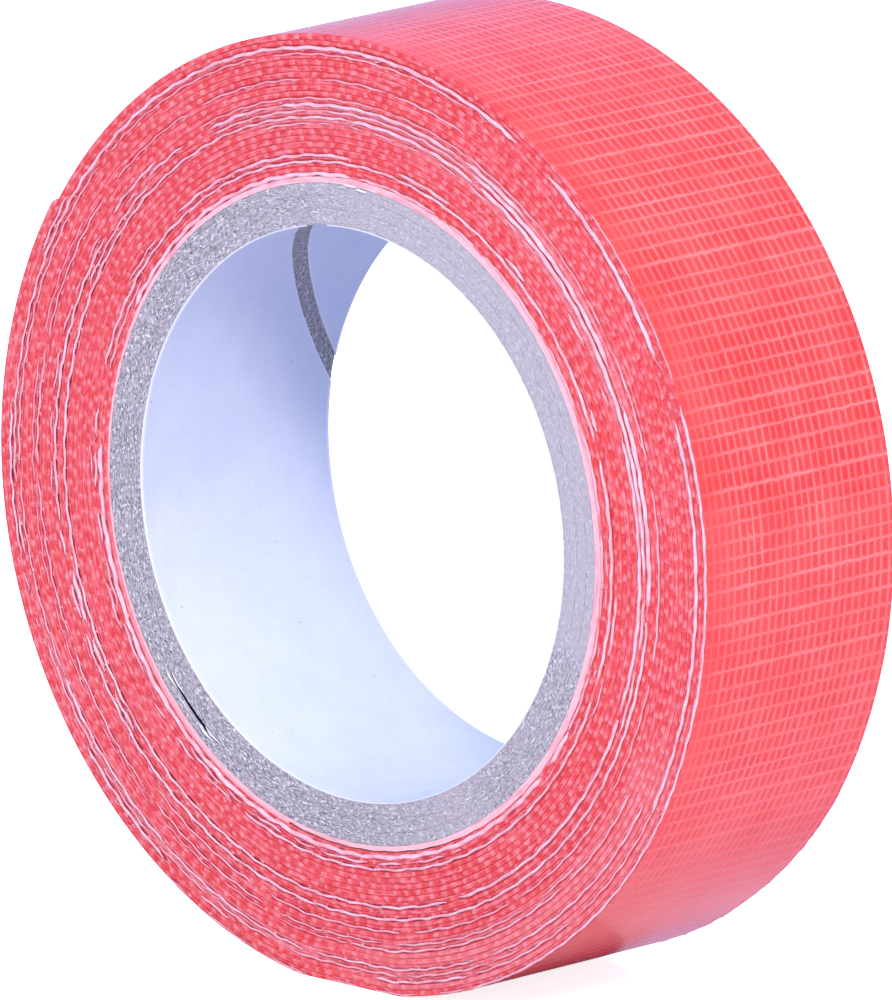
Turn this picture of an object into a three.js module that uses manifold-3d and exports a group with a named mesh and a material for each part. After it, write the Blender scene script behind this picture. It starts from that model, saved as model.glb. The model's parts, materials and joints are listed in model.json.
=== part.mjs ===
// Grip tape roll: a strip of film-coated cloth tape wound on a spiral-wound paperboard core.
// Millimetres, +Z up. The roll stands on its rim, its axis lies along Y, the front face looks
// along -Y and the origin is the centre of the core. Angles are seen from the front, counted
// anticlockwise from +X.

import * as THREE from 'three';
import { mergeVertices } from 'three/addons/utils/BufferGeometryUtils.js';
import Module from 'manifold-3d';

// Driving dimensions
const TAPE_WIDTH = 18;
const TAPE_THICKNESS = 0.417;
const TURNS = 23.25;
const BORE_RADIUS = 19.2;
const INNER_LINER_THICKNESS = 0.3;
const BOARD_PLY_THICKNESS = 0.83;
const OUTER_LINER_THICKNESS = 0.38;
const GLUE_LINE = 0.04;

// Free end of the strip: it points clockwise, up the left side of the roll
const TIP_ANGLE = 147.5;
const PEEL_ANGLE = 167.5;
const TIP_CHAMFER = 0.15;
const END_CLEARANCE = 0.3;

// The soft roll is pressed flat where it stands on its rim
const REST_ANGLE = 270;
const REST_HALF_ANGLE = 7.5;

// Open butt seam of the helically wound inner liner
const SEAM_FRONT_ANGLE = 99;
const SEAM_TWIST = 68.5;
const SEAM_WIDTH_ANGLE = 5.7;
const SEAM_STEPS = 20;
const SEAM_OVERRUN = 1;

// Facets: a vertex every 5 degrees, with a whole facet centred under the roll
const FACET_ANGLE = 5;
const FIRST_VERTEX_ANGLE = 2.5;
const FULL_TURN = 360;

const COATED_CLOTH = { color: 0xf4586a, roughness: 0.35, metalness: 0 };
const GREY_BOARD = { color: 0xa3a1b4, roughness: 0.9, metalness: 0 };
const WHITE_PAPER = { color: 0xe2e6f2, roughness: 0.75, metalness: 0 };

const wasm = await Module();
wasm.setup();

const group = new THREE.Group();

// Radii of the core's plies, stacked outwards from the bore with a glue line between them
function stackPlies() {
  const plies = [];
  let radius = BORE_RADIUS;
  const thicknesses = [
    INNER_LINER_THICKNESS,
    BOARD_PLY_THICKNESS,
    BOARD_PLY_THICKNESS,
    BOARD_PLY_THICKNESS,
    OUTER_LINER_THICKNESS,
  ];
  for (const thickness of thicknesses) {
    plies.push({ inner: radius, outer: radius + thickness });
    radius += thickness + GLUE_LINE;
  }
  return { plies, woundRadius: radius };
}

const { plies, woundRadius } = stackPlies();
const tipRadius = woundRadius + TURNS * TAPE_THICKNESS;

// Outer surface of the strip, which comes in by one thickness per turn from the tip. The rest
// flat is level all the way to the end where the spiral has come in furthest.
function spiralRadius(angle, depth) {
  const turned = (angle - TIP_ANGLE) / FULL_TURN;
  const radius = tipRadius - depth - TAPE_THICKNESS * turned;
  const aside = THREE.MathUtils.degToRad((angle % FULL_TURN) - REST_ANGLE);
  const restHalf = THREE.MathUtils.degToRad(REST_HALF_ANGLE);
  if (Math.abs(aside) > restHalf) {
    return radius;
  }
  const restTurned = (REST_ANGLE + REST_HALF_ANGLE - TIP_ANGLE) / FULL_TURN;
  const restRadius = tipRadius - depth - TAPE_THICKNESS * restTurned;
  return Math.min(radius, (restRadius * Math.cos(restHalf)) / Math.cos(aside));
}

function pointAt(angle, radius) {
  const a = THREE.MathUtils.degToRad(angle);
  return new THREE.Vector2(radius * Math.cos(a), radius * Math.sin(a));
}

// The start angle, every facet vertex inside the arc, and the end angle
function arcAngles(start, end) {
  const angles = [start];
  const skipped = Math.floor((start - FIRST_VERTEX_ANGLE) / FACET_ANGLE) + 1;
  let angle = FIRST_VERTEX_ANGLE + skipped * FACET_ANGLE;
  while (angle < end) {
    angles.push(angle);
    angle += FACET_ANGLE;
  }
  angles.push(end);
  return angles;
}

function arcPoints(start, end, radiusAt) {
  return arcAngles(start, end).map((angle) => pointAt(angle, radiusAt(angle)));
}

// Full circle of facet vertices, without repeating the first one
function circlePoints(start, radiusAt) {
  return arcPoints(start, start + FULL_TURN, radiusAt).slice(0, -1);
}

// Extrudes a front-view outline through the width of the tape, centred on the origin
function extrudeWidth(shape) {
  const geometry = new THREE.ExtrudeGeometry(shape, {
    depth: TAPE_WIDTH,
    steps: 1,
    bevelEnabled: false,
  });
  geometry.rotateX(Math.PI / 2);
  geometry.translate(0, TAPE_WIDTH / 2, 0);
  return geometry;
}

function ringGeometry(outerPoints, innerPoints) {
  const shape = new THREE.Shape(outerPoints);
  shape.holes.push(new THREE.Path(innerPoints));
  return extrudeWidth(shape);
}

function addPiece(name, geometry, finish) {
  const mesh = new THREE.Mesh(geometry, new THREE.MeshStandardMaterial(finish));
  mesh.name = name;
  group.add(mesh);
}

function toSolid(geometry) {
  const bare = geometry.clone();
  bare.deleteAttribute('normal');
  bare.deleteAttribute('uv');
  const merged = mergeVertices(bare);
  return new wasm.Manifold(
    new wasm.Mesh({
      numProp: 3,
      vertProperties: new Float32Array(merged.attributes.position.array),
      triVerts: new Uint32Array(merged.index.array),
    }),
  );
}

function toGeometry(solid) {
  const mesh = solid.getMesh();
  const geometry = new THREE.BufferGeometry();
  geometry.setAttribute('position', new THREE.BufferAttribute(mesh.vertProperties, 3));
  geometry.setIndex(new THREE.BufferAttribute(mesh.triVerts, 1));
  geometry.computeVertexNormals();
  return geometry;
}

function plyGeometry(ply) {
  return ringGeometry(
    circlePoints(FIRST_VERTEX_ANGLE, () => ply.outer),
    circlePoints(FIRST_VERTEX_ANGLE, () => ply.inner),
  );
}

// Box bent into the helical gap between two neighbouring edges of the liner strip
function seamCutter(ply) {
  const length = TAPE_WIDTH + 2 * SEAM_OVERRUN;
  const box = new THREE.BoxGeometry(1, 1, 1, 1, 1, SEAM_STEPS);
  const position = box.attributes.position;
  for (let i = 0; i < position.count; i += 1) {
    const along = position.getZ(i) * length;
    const twist = SEAM_TWIST * (along / TAPE_WIDTH + 0.5);
    const angle = SEAM_FRONT_ANGLE + twist + position.getX(i) * SEAM_WIDTH_ANGLE;
    const radius = position.getY(i) > 0 ? ply.outer + SEAM_OVERRUN : ply.inner - SEAM_OVERRUN;
    const spot = pointAt(angle, radius);
    position.setXYZ(i, spot.x, along, spot.y);
  }
  return box;
}

function addCore() {
  const [innerLiner, innerBoard, middleBoard, outerBoard, outerLiner] = plies;
  const cutter = toSolid(seamCutter(innerLiner));
  const lined = toSolid(plyGeometry(innerLiner)).subtract(cutter);
  addPiece('core_inner_liner', toGeometry(lined), WHITE_PAPER);
  addPiece('core_board_ply_inner', plyGeometry(innerBoard), GREY_BOARD);
  addPiece('core_board_ply_middle', plyGeometry(middleBoard), GREY_BOARD);
  addPiece('core_board_ply_outer', plyGeometry(outerBoard), GREY_BOARD);
  addPiece('core_outer_liner', plyGeometry(outerLiner), WHITE_PAPER);
}

// All the turns under the outermost one. The step in its outline is where that turn dives under.
function addWoundTurns() {
  const depth = TAPE_THICKNESS + GLUE_LINE;
  const outline = arcPoints(TIP_ANGLE, TIP_ANGLE + FULL_TURN, (angle) => spiralRadius(angle, depth));
  const bore = circlePoints(FIRST_VERTEX_ANGLE, () => woundRadius);
  addPiece('tape_wound_turns', ringGeometry(outline, bore), COATED_CLOTH);
}

// The outermost turn, from the peel line all the way round to where it passes under the free end
function addOuterTurn() {
  const clearance = THREE.MathUtils.radToDeg(END_CLEARANCE / tipRadius);
  const start = PEEL_ANGLE + clearance;
  const end = TIP_ANGLE + FULL_TURN - clearance;
  const outside = arcPoints(start, end, (angle) => spiralRadius(angle, 0));
  const inside = arcPoints(start, end, (angle) => spiralRadius(angle, TAPE_THICKNESS));
  const shape = new THREE.Shape([...outside, ...inside.reverse()]);
  addPiece('tape_outer_turn', extrudeWidth(shape), COATED_CLOTH);
}

// The free end that a fingernail lifts, with its upper edge rounded off
function addFreeEnd() {
  const chamferAngle = THREE.MathUtils.radToDeg(TIP_CHAMFER / tipRadius);
  const outside = arcPoints(TIP_ANGLE + chamferAngle, PEEL_ANGLE, (angle) => spiralRadius(angle, 0));
  const inside = arcPoints(TIP_ANGLE, PEEL_ANGLE, (angle) => spiralRadius(angle, TAPE_THICKNESS));
  const shoulder = pointAt(TIP_ANGLE, tipRadius - TIP_CHAMFER);
  const shape = new THREE.Shape([shoulder, ...outside, ...inside.reverse()]);
  addPiece('tape_free_end', extrudeWidth(shape), COATED_CLOTH);
}

addCore();
addWoundTurns();
addOuterTurn();
addFreeEnd();

export default group;
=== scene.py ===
import json
import math

import bpy
import numpy as np
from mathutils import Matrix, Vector, noise


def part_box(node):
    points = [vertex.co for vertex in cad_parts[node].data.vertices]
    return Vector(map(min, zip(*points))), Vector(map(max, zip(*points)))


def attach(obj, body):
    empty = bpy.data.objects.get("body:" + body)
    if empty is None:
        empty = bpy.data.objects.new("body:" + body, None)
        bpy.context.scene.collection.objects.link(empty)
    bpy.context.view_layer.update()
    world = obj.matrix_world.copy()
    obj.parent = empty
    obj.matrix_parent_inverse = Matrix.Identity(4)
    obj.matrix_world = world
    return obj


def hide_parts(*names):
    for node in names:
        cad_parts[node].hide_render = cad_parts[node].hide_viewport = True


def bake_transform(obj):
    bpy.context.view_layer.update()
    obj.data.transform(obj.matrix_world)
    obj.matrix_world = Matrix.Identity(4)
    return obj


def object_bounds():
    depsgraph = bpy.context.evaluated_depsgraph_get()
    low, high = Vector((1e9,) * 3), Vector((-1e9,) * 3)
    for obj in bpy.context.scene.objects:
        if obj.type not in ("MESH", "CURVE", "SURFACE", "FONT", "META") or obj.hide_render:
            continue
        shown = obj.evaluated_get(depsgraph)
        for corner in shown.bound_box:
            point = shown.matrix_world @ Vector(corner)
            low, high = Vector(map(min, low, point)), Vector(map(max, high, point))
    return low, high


# Grip tape roll: a film-coated cloth strip wound on a paperboard core. Metres, +Z up, the roll's
# axis along Y, front face towards -Y. Angles are in degrees seen from the front, anticlockwise
# from +X, and along the strip they count on past 360 from the tip inwards.

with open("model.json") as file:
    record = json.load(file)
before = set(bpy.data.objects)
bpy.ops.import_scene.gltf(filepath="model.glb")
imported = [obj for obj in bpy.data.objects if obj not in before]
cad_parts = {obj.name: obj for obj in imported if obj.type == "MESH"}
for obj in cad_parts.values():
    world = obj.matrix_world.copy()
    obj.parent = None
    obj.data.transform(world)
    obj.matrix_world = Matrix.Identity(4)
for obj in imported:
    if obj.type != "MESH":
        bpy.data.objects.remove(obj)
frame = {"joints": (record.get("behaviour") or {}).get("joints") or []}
cad_low, cad_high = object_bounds()
rng = np.random.default_rng(7)

MM = 0.001
FULL_TURN = 360.0

# Driving dimensions, the same as the CAD's
TAPE_THICKNESS = 0.417 * MM
WOUND_RADIUS = 22.57 * MM
FACET_HALF_ANGLE = 2.5
TIP_ANGLE = 147.5
REST_ANGLE = 270.0
REST_HALF_ANGLE = 7.5
SEAM_FRONT_ANGLE = 99.0
SEAM_TWIST = 68.5
SEAM_WIDTH_ANGLE = 5.7
LINER_THICKNESS = 0.3 * MM

peel_joint = frame["joints"][0]
PIVOT = Vector(peel_joint["pos_m"])
PEEL_ANGLE = math.degrees(math.atan2(PIVOT.z, PIVOT.x))
PEEL_RADIUS = math.hypot(PIVOT.x, PIVOT.z)
TIP_RADIUS = PEEL_RADIUS + TAPE_THICKNESS * (PEEL_ANGLE - TIP_ANGLE) / FULL_TURN
HALF_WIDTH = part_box("tape_wound_turns")[1].y
FLOOR_DEPTH = -cad_low.z


def ring_radius(node):
    """True outer radius of a CAD ring whose facets cut in a little at the axes."""
    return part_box(node)[1].x / math.cos(math.radians(FACET_HALF_ANGLE))


LINER_RADIUS = ring_radius("core_inner_liner")
BOARD_NODES = ("core_board_ply_inner", "core_board_ply_middle", "core_board_ply_outer")
BOARD_OUTER_RADII = [ring_radius(node) for node in BOARD_NODES]
BORE_RADIUS = LINER_RADIUS - LINER_THICKNESS

# The cloth: wefts run across the strip, warps run along it
WEFT_PITCH = 1.11 * MM
WARP_PITCH = 0.67 * MM
WEFT_WOBBLE = 0.22
WARP_WOBBLE = 0.13

# How far the soft roll is out of round at its rim: (angle, millimetres)
OUT_OF_ROUND = (
    (0, 0.03), (45, 0.02), (90, 0.06), (143, 0.0), (180, 0.0), (225, -0.13),
    (260, -0.01), (280, 0.0), (300, 0.13), (325, 0.29), (345, 0.12),
)

# Where the liner's paper ends and the board begins
PAPER_RADIUS = BORE_RADIUS + 0.09 * MM


# ---------------------------------------------------------------- strip mathematics

# The strip is kept above the floor where its radius points down by more than this
LOWEST_SHARE = 0.5


def smooth(t):
    """Eases from 0 to 1 as t goes from 0 to 1."""
    t = np.clip(t, 0.0, 1.0)
    return t * t * (3.0 - 2.0 * t)


def window(t, low, high, rise, fall):
    """1 between low and high, eased from and to 0 over these lengths just inside them."""
    return smooth((t - low) / rise) * smooth((high - t) / fall)


def out_of_round(angle):
    """Smooth closed curve through the OUT_OF_ROUND values, in metres."""
    table = sorted(OUT_OF_ROUND)
    knots = np.array([a for a, _ in table] + [table[0][0] + FULL_TURN])
    values = np.array([v for _, v in table] + [table[0][1]]) * MM
    turn = np.mod(angle, FULL_TURN)
    index = np.clip(np.searchsorted(knots, turn, side="right") - 1, 0, len(table) - 1)
    t = smooth((turn - knots[index]) / (knots[index + 1] - knots[index]))
    return values[index] * (1 - t) + values[index + 1] * t


def strip_radius(angle):
    """Outer surface of the strip at an angle counted along it from the tip."""
    angle = np.asarray(angle, float)
    radius = TIP_RADIUS - TAPE_THICKNESS * (angle - TIP_ANGLE) / FULL_TURN
    share = np.clip((radius - WOUND_RADIUS) / (TIP_RADIUS - WOUND_RADIUS), 0, 1)
    aside = np.radians(np.mod(angle, FULL_TURN) - REST_ANGLE)
    half = math.radians(REST_HALF_ANGLE)
    pressed = np.where(np.abs(aside) < half, radius * (1 - math.cos(half) / np.cos(aside)), 0)
    radius = radius + share**1.5 * (out_of_round(angle) - pressed)
    down = np.maximum(-np.sin(np.radians(angle)), LOWEST_SHARE)
    return np.where(down > LOWEST_SHARE, np.minimum(radius, FLOOR_DEPTH / down), radius)


def facing(angle, direction):
    """1 where the roll's rim looks in this direction, -1 where it looks the other way."""
    return np.cos(np.radians(angle - direction))


def strip_length(angle):
    """Length along the strip from its tip, in metres."""
    turned = np.asarray(angle, float) - TIP_ANGLE
    return np.radians(turned) * (TIP_RADIUS - TAPE_THICKNESS * turned / (2 * FULL_TURN))


def waves(x, lengths, seed):
    """Sum of sines of these wavelengths, each within +-1, divided by their number."""
    phases = np.random.default_rng(seed).uniform(0, 2 * math.pi, len(lengths))
    parts = [np.sin(2 * math.pi * np.asarray(x) / n + p) for n, p in zip(lengths, phases)]
    return sum(parts) / len(parts)


def weft_phase(length):
    """Number of wefts passed at a length, with the uneven spacing of real cloth."""
    wobble = waves(length / MM, (3.1, 4.7, 7.9, 13.3), 11)
    return length / WEFT_PITCH + WEFT_WOBBLE * wobble


def warp_phase(y):
    """Number of warps passed across the strip."""
    wobble = waves(y / MM, (1.7, 2.9, 5.3), 23)
    return (y + HALF_WIDTH) / WARP_PITCH + WARP_WOBBLE * wobble


# The strip's inner end and where its cloth begins to be undyed, in turns from the tip
LAST_TURN = 23.3
UNDYED_TURN = 22.75

# Degrees from one cross-section of a piece to the next
WOUND_STEP = 1.6
OUTER_STEP = 0.38
FREE_END_STEP = 0.25
THREAD_STEP = 0.45
BOARD_STEP = 0.4
BAND_STEP = 0.5

ANGLE_TABLE = np.arange(TIP_ANGLE, TIP_ANGLE + (LAST_TURN + 0.7) * FULL_TURN, 0.25)
PHASE_TABLE = weft_phase(strip_length(ANGLE_TABLE))


def angle_of_weft(index):
    """Angle along the strip at which this many wefts have been passed."""
    return np.interp(index, PHASE_TABLE, ANGLE_TABLE)


def place(angle, radius, y):
    """Points at these angles, radii and places along the axis, as an array of x, y, z."""
    a = np.radians(angle)
    parts = np.broadcast_arrays(radius * np.cos(a), y, radius * np.sin(a))
    return np.stack(parts, axis=-1)


# ---------------------------------------------------------------- mesh building

def add_object(name, points, faces, materials, slots=None, flat=None):
    """A mesh object. slots holds each face's material index, flat the faces shaded flat."""
    mesh = bpy.data.meshes.new(name)
    mesh.from_pydata(points.reshape(-1, 3).tolist(), [], faces)
    for material in materials:
        mesh.materials.append(material)
    mesh.polygons.foreach_set("use_smooth", np.ones(len(faces), bool))
    if slots is not None:
        mesh.polygons.foreach_set("material_index", np.asarray(slots, np.int32))
    for index in flat or ():
        mesh.polygons[index].use_smooth = False
    mesh.update()
    piece = bpy.data.objects.new(name, mesh)
    bpy.context.scene.collection.objects.link(piece)
    return piece


def store(piece, name, values):
    """Keeps numbers or vectors on a piece's points for its material to read."""
    values = np.asarray(values, np.float32)
    if values.shape[-1] == 3 and values.ndim > 1:
        attribute = piece.data.attributes.new(name, "FLOAT_VECTOR", "POINT")
        attribute.data.foreach_set("vector", values.reshape(-1))
    else:
        attribute = piece.data.attributes.new(name, "FLOAT", "POINT")
        attribute.data.foreach_set("value", values.reshape(-1))


def signed_volume(points, quads):
    """Volume inside a closed surface, negative where its faces look inwards."""
    a, b, c, d = (points[quads[:, k]] for k in range(4))
    one = np.einsum("ij,ij->i", a, np.cross(b, c)).sum()
    two = np.einsum("ij,ij->i", a, np.cross(c, d)).sum()
    return (one + two) / 6


def loft(name, sections, materials, column_slots=None, closed=False):
    """Joins closed cross-sections, shape (sections, points, 3), into one closed body."""
    count, around, _ = sections.shape
    points = sections.reshape(-1, 3)
    rows = np.arange(count if closed else count - 1)
    i, j = np.meshgrid(rows, np.arange(around), indexing="ij")
    following = (i + 1) % count
    side = (j + 1) % around
    quads = np.stack(
        [i * around + j, i * around + side, following * around + side, following * around + j],
        axis=-1,
    ).reshape(-1, 4)
    outward = signed_volume(points, quads) > 0
    quads = quads if outward else quads[:, ::-1]
    slots = np.zeros(len(quads), int)
    if column_slots is not None:
        slots = np.tile(np.asarray(column_slots, int), len(rows))
    faces = quads.tolist()
    flat = []
    if not closed:
        first = list(range(around))
        last = [(count - 1) * around + k for k in range(around)]
        caps = [first[::-1], last] if outward else [first, last[::-1]]
        flat = [len(faces), len(faces) + 1]
        faces += caps
        slots = np.concatenate([slots, [slots[0], slots[0]]])
    return add_object(name, points, faces, materials, slots, flat)


def scatter(name, blob_points, blob_faces, centres, frames, sizes, material):
    """Copies of one small closed shape in one mesh: frames are 3x3 axes, sizes three lengths."""
    shaped = blob_points[None] * sizes[:, None, :]
    points = np.einsum("npk,nkc->npc", shaped, frames) + centres[:, None, :]
    start = np.arange(len(centres))[:, None, None] * len(blob_points)
    faces = (np.asarray(blob_faces)[None] + start).reshape(-1, len(blob_faces[0]))
    return add_object(name, points, faces.tolist(), [material])


def tubes(name, paths, radii, sides, material):
    """Closed round tubes along point paths, all in one mesh."""
    all_points, faces, base = [], [], 0
    for path, radius in zip(paths, radii):
        tangent = np.gradient(path, axis=0)
        tangent /= np.linalg.norm(tangent, axis=1)[:, None]
        side = np.cross(tangent, (0.0, 1.0, 0.0))
        side /= np.linalg.norm(side, axis=1)[:, None]
        lift = np.cross(side, tangent)
        turn = np.linspace(0, 2 * math.pi, sides, endpoint=False)
        taper = np.broadcast_to(radius, len(path))[:, None, None]
        ring = side[:, None] * np.cos(turn)[None, :, None]
        ring = ring + lift[:, None] * np.sin(turn)[None, :, None]
        all_points.append((path[:, None] + ring * taper).reshape(-1, 3))
        for i in range(len(path) - 1):
            for j in range(sides):
                k = (j + 1) % sides
                low, high = base + i * sides, base + (i + 1) * sides
                faces.append([low + j, high + j, high + k, low + k])
        last = base + (len(path) - 1) * sides
        faces.append([base + j for j in range(sides)])
        faces.append([last + j for j in reversed(range(sides))])
        base += len(path) * sides
    return add_object(name, np.concatenate(all_points), faces, [material])


# ---------------------------------------------------------------- material building

def linear(red, green, blue):
    """Colour given as 0 to 255 display values, as the renderer's linear light."""
    def channel(c):
        c = c / 255
        return c / 12.92 if c <= 0.04045 else ((c + 0.055) / 1.055) ** 2.4
    return (channel(red), channel(green), channel(blue), 1.0)


class Finish:
    """One node material, with short calls for the nodes it is built from."""

    def __init__(self, name, **settings):
        self.material = bpy.data.materials.new(name)
        self.material.use_nodes = True
        self.tree = self.material.node_tree
        self.shader = self.tree.nodes["Principled BSDF"]
        for socket, value in settings.items():
            self.shader.inputs[socket.replace("_", " ")].default_value = value

    def node(self, kind, **settings):
        made = self.tree.nodes.new("ShaderNode" + kind)
        for key, value in settings.items():
            setattr(made, key, value)
        return made

    def feed(self, socket, value):
        """Links a node's output to a socket, or sets it. Three numbers are a display colour."""
        if isinstance(value, bpy.types.NodeSocket):
            self.tree.links.new(value, socket)
        elif isinstance(value, tuple) and len(value) == 3:
            socket.default_value = linear(*value)
        else:
            socket.default_value = value

    def math(self, operation, *values, clamp=False):
        made = self.node("Math", operation=operation, use_clamp=clamp)
        for socket, value in zip(made.inputs, values):
            self.feed(socket, value)
        return made.outputs[0]

    def times(self, *values, clamp=False):
        return self.math("MULTIPLY", *values, clamp=clamp)

    def plus(self, *values):
        return self.math("ADD", *values)

    def ramp(self, value, low, high, to_low=0.0, to_high=1.0):
        made = self.node("MapRange", interpolation_type="SMOOTHSTEP")
        for socket, given in zip(made.inputs, (value, low, high, to_low, to_high)):
            self.feed(socket, given)
        return made.outputs[0]

    def mix(self, factor, first, second):
        made = self.node("Mix", data_type="RGBA")
        self.feed(made.inputs[0], factor)
        self.feed(made.inputs[6], first)
        self.feed(made.inputs[7], second)
        return made.outputs[2]

    def stored(self, name, vector=False):
        made = self.node("Attribute", attribute_name=name)
        return made.outputs["Vector" if vector else "Fac"]

    def split(self, vector):
        made = self.node("SeparateXYZ")
        self.feed(made.inputs[0], vector)
        return made.outputs

    def scaled(self, vector, x, y, z):
        made = self.node("VectorMath", operation="MULTIPLY")
        self.feed(made.inputs[0], vector)
        made.inputs[1].default_value = (x, y, z)
        return made.outputs[0]

    def noise(self, vector, scale=1.0, detail=2.0, roughness=0.5):
        made = self.node("TexNoise")
        self.feed(made.inputs["Vector"], vector)
        made.inputs["Scale"].default_value = scale
        made.inputs["Detail"].default_value = detail
        made.inputs["Roughness"].default_value = roughness
        return made.outputs["Fac"]

    def spots(self, vector, scale):
        made = self.node("TexVoronoi")
        self.feed(made.inputs["Vector"], vector)
        made.inputs["Scale"].default_value = scale
        return made.outputs["Distance"]

    def pick(self, value):
        """A random number for each whole value."""
        made = self.node("TexWhiteNoise", noise_dimensions="1D")
        self.feed(made.inputs["W"], self.math("FLOOR", value))
        return made.outputs["Value"]

    def line(self, phase, width):
        """1 on each whole value of phase, falling to 0 at this share of the pitch."""
        off = self.math("ABSOLUTE", self.math("SUBTRACT", self.math("FRACT", phase), 0.5))
        return self.ramp(off, 0.5 - width, 0.5)

    def colour(self, value):
        self.feed(self.shader.inputs["Base Color"], value)

    def roughness(self, value):
        self.feed(self.shader.inputs["Roughness"], value)

    def bump(self, height, distance, strength):
        made = self.node("Bump")
        made.inputs["Strength"].default_value = strength
        made.inputs["Distance"].default_value = distance
        self.feed(made.inputs["Height"], height)
        self.tree.links.new(made.outputs[0], self.shader.inputs["Normal"])


CELL_RED = (228, 54, 46)
CELL_CORAL = (231, 72, 64)
TICK_RED = (138, 28, 30)
LINE_PINK = (234, 124, 120)
CELLS_PER_ROW = 57.0

FLOOR_BOUNCE = (202, 201, 217)
FLOOR_GLOW = 0.8

# Strip pieces store: lay = (length along, place across, depth below the film) in millimetres,
# weft and warp = how many threads have been passed, bare = how strong the painted shade is in the
# groove where a thread has opened the edge, faded = where the cloth is undyed or worn pale,
# plain = 1 where the threads press through the film and less where it lies smooth over them. Core
# pieces store grain, where the first two numbers go round a circle and the third goes across the
# grain, in millimetres; board pieces also store crisp and shade, the painted shade inside the
# split and in the liner's seam.

def film_finish():
    """Glossy coral film over cloth whose threads press through it as paler lines."""
    f = Finish("coated_film", Roughness=0.3)
    lay = f.stored("lay", vector=True)
    weft = f.stored("weft")
    warp = f.stored("warp")
    drift = f.times(f.math("SUBTRACT", f.noise(lay, 1.5, 3), 0.5), 0.3)
    weft = f.plus(weft, drift)
    warp = f.plus(warp, f.times(drift, 0.8))
    weft_line = f.line(weft, 0.16)
    warp_line = f.line(warp, 0.27)
    weft_power = f.ramp(f.pick(f.plus(weft, 0.5)), 0.0, 1.0, 0.55, 0.9)
    warp_power = f.ramp(f.noise(f.scaled(lay, 0.25, 1.9, 1.0), 1.0, 2), 0.3, 0.7, 0.38, 0.8)
    plain = f.stored("plain")
    patch = f.ramp(f.noise(lay, 0.3, 3), 0.3, 0.7, 0.6, 1.0)
    patch = f.times(patch, plain)
    weft_line = f.times(f.times(weft_line, weft_power), patch)
    warp_line = f.times(f.times(warp_line, warp_power), patch)
    threads = f.math("MAXIMUM", weft_line, warp_line)
    tone = f.ramp(f.noise(f.scaled(lay, 0.22, 0.22, 1.0), 1.0, 3), 0.3, 0.7)
    cell = f.mix(tone, CELL_RED, CELL_CORAL)
    middle_warp = f.plus(warp, 0.5)
    middle_weft = f.plus(weft, 0.5)
    tall = f.times(f.line(middle_weft, 0.5), 2.0, clamp=True)
    tick = f.times(f.line(middle_warp, 0.46), tall)
    row = f.times(f.math("FLOOR", middle_weft), CELLS_PER_ROW)
    own = f.pick(f.plus(f.math("FLOOR", middle_warp), row))
    fleck = f.ramp(f.noise(f.scaled(lay, 1.1, 2.4, 1.0), 1.0, 2), 0.25, 0.6, 0.3, 1.0)
    fleck = f.times(f.times(tick, fleck), f.ramp(own, 0.0, 1.0, 0.5, 1.0))
    fleck = f.times(fleck, plain)
    cell = f.mix(f.times(fleck, 0.5), cell, TICK_RED)
    f.colour(f.mix(threads, cell, LINE_PINK))
    f.roughness(f.ramp(f.noise(lay, 0.6, 3), 0.3, 0.7, 0.12, 0.18))
    f.bump(f.plus(threads, f.times(fleck, -0.3)), 0.02 * MM, 0.5)
    return f.material


def cut_edge_finish():
    """Cut side of the strip: red cloth mottled by the paler cut ends of its wefts, with painted
    shade in the groove where a bare warp thread has opened the edge and faint painted shade where
    the turns meet, and pale where it is undyed or worn."""
    f = Finish("tape_cut_edge", Roughness=0.6, Specular_IOR_Level=0.2)
    lay = f.stored("lay", vector=True)
    depth = f.split(lay)[2]
    fibre = f.noise(f.scaled(lay, 3.2, 6.0, 4.0), 1.0, 3)
    cloud = f.noise(f.scaled(lay, 0.7, 0.3, 1.3), 1.0, 3)
    red = f.mix(f.ramp(fibre, 0.35, 0.7), (188, 50, 55), (205, 78, 83))
    red = f.mix(f.ramp(cloud, 0.5, 0.75, 0.0, 0.4), red, (206, 102, 107))
    pits = f.ramp(f.noise(f.scaled(lay, 2.4, 4.0, 3.4), 1.0, 2), 0.56, 0.7, 0.0, 0.42)
    red = f.mix(pits, red, (152, 32, 43))
    streak = f.ramp(f.noise(f.scaled(lay, 0.55, 0.3, 6.0), 1.0, 2), 0.52, 0.66, 0.0, 0.55)
    red = f.mix(streak, red, (212, 120, 130))
    weft = f.plus(f.stored("weft"), f.times(f.math("SUBTRACT", fibre, 0.5), 0.7))
    power = f.ramp(f.pick(f.plus(f.stored("weft"), 0.5)), 0.0, 1.0, 0.45, 1.0)
    middle = f.ramp(f.math("ABSOLUTE", f.math("SUBTRACT", depth, 0.2)), 0.27, 0.1)
    end = f.times(f.times(f.line(weft, 0.32), power), middle)
    red = f.mix(f.times(end, 0.6), red, (214, 141, 147))
    red = f.mix(f.times(f.stored("faded"), 0.85), red, (211, 158, 166))
    # Painted shade: faintly darker along the film and adhesive sides of the cut edge, where one
    # turn meets the next, and much darker in the groove beside a bare thread
    painted_seam_shade = f.math("MAXIMUM", f.ramp(depth, 0.05, 0.0), f.ramp(depth, 0.36, 0.4))
    dark = f.math("MAXIMUM", f.times(painted_seam_shade, 0.12), f.times(f.stored("bare"), 0.9))
    f.colour(f.mix(dark, red, (126, 28, 64)))
    f.bump(f.plus(fibre, end), 0.03 * MM, 0.8)
    return f.material


def underside_finish():
    """Adhesive side of the strip, with the cloth showing through a tacky rubber coat."""
    f = Finish("tape_adhesive", Roughness=0.42)
    lay = f.stored("lay", vector=True)
    threads = f.math("MAXIMUM", f.line(f.stored("weft"), 0.3), f.line(f.stored("warp"), 0.3))
    tone = f.noise(lay, 0.8, 3)
    base = f.mix(tone, (196, 88, 92), (206, 116, 120))
    f.colour(f.mix(f.times(threads, 0.5), base, (208, 156, 158)))
    f.bump(threads, 0.03 * MM, 0.7)
    return f.material


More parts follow.
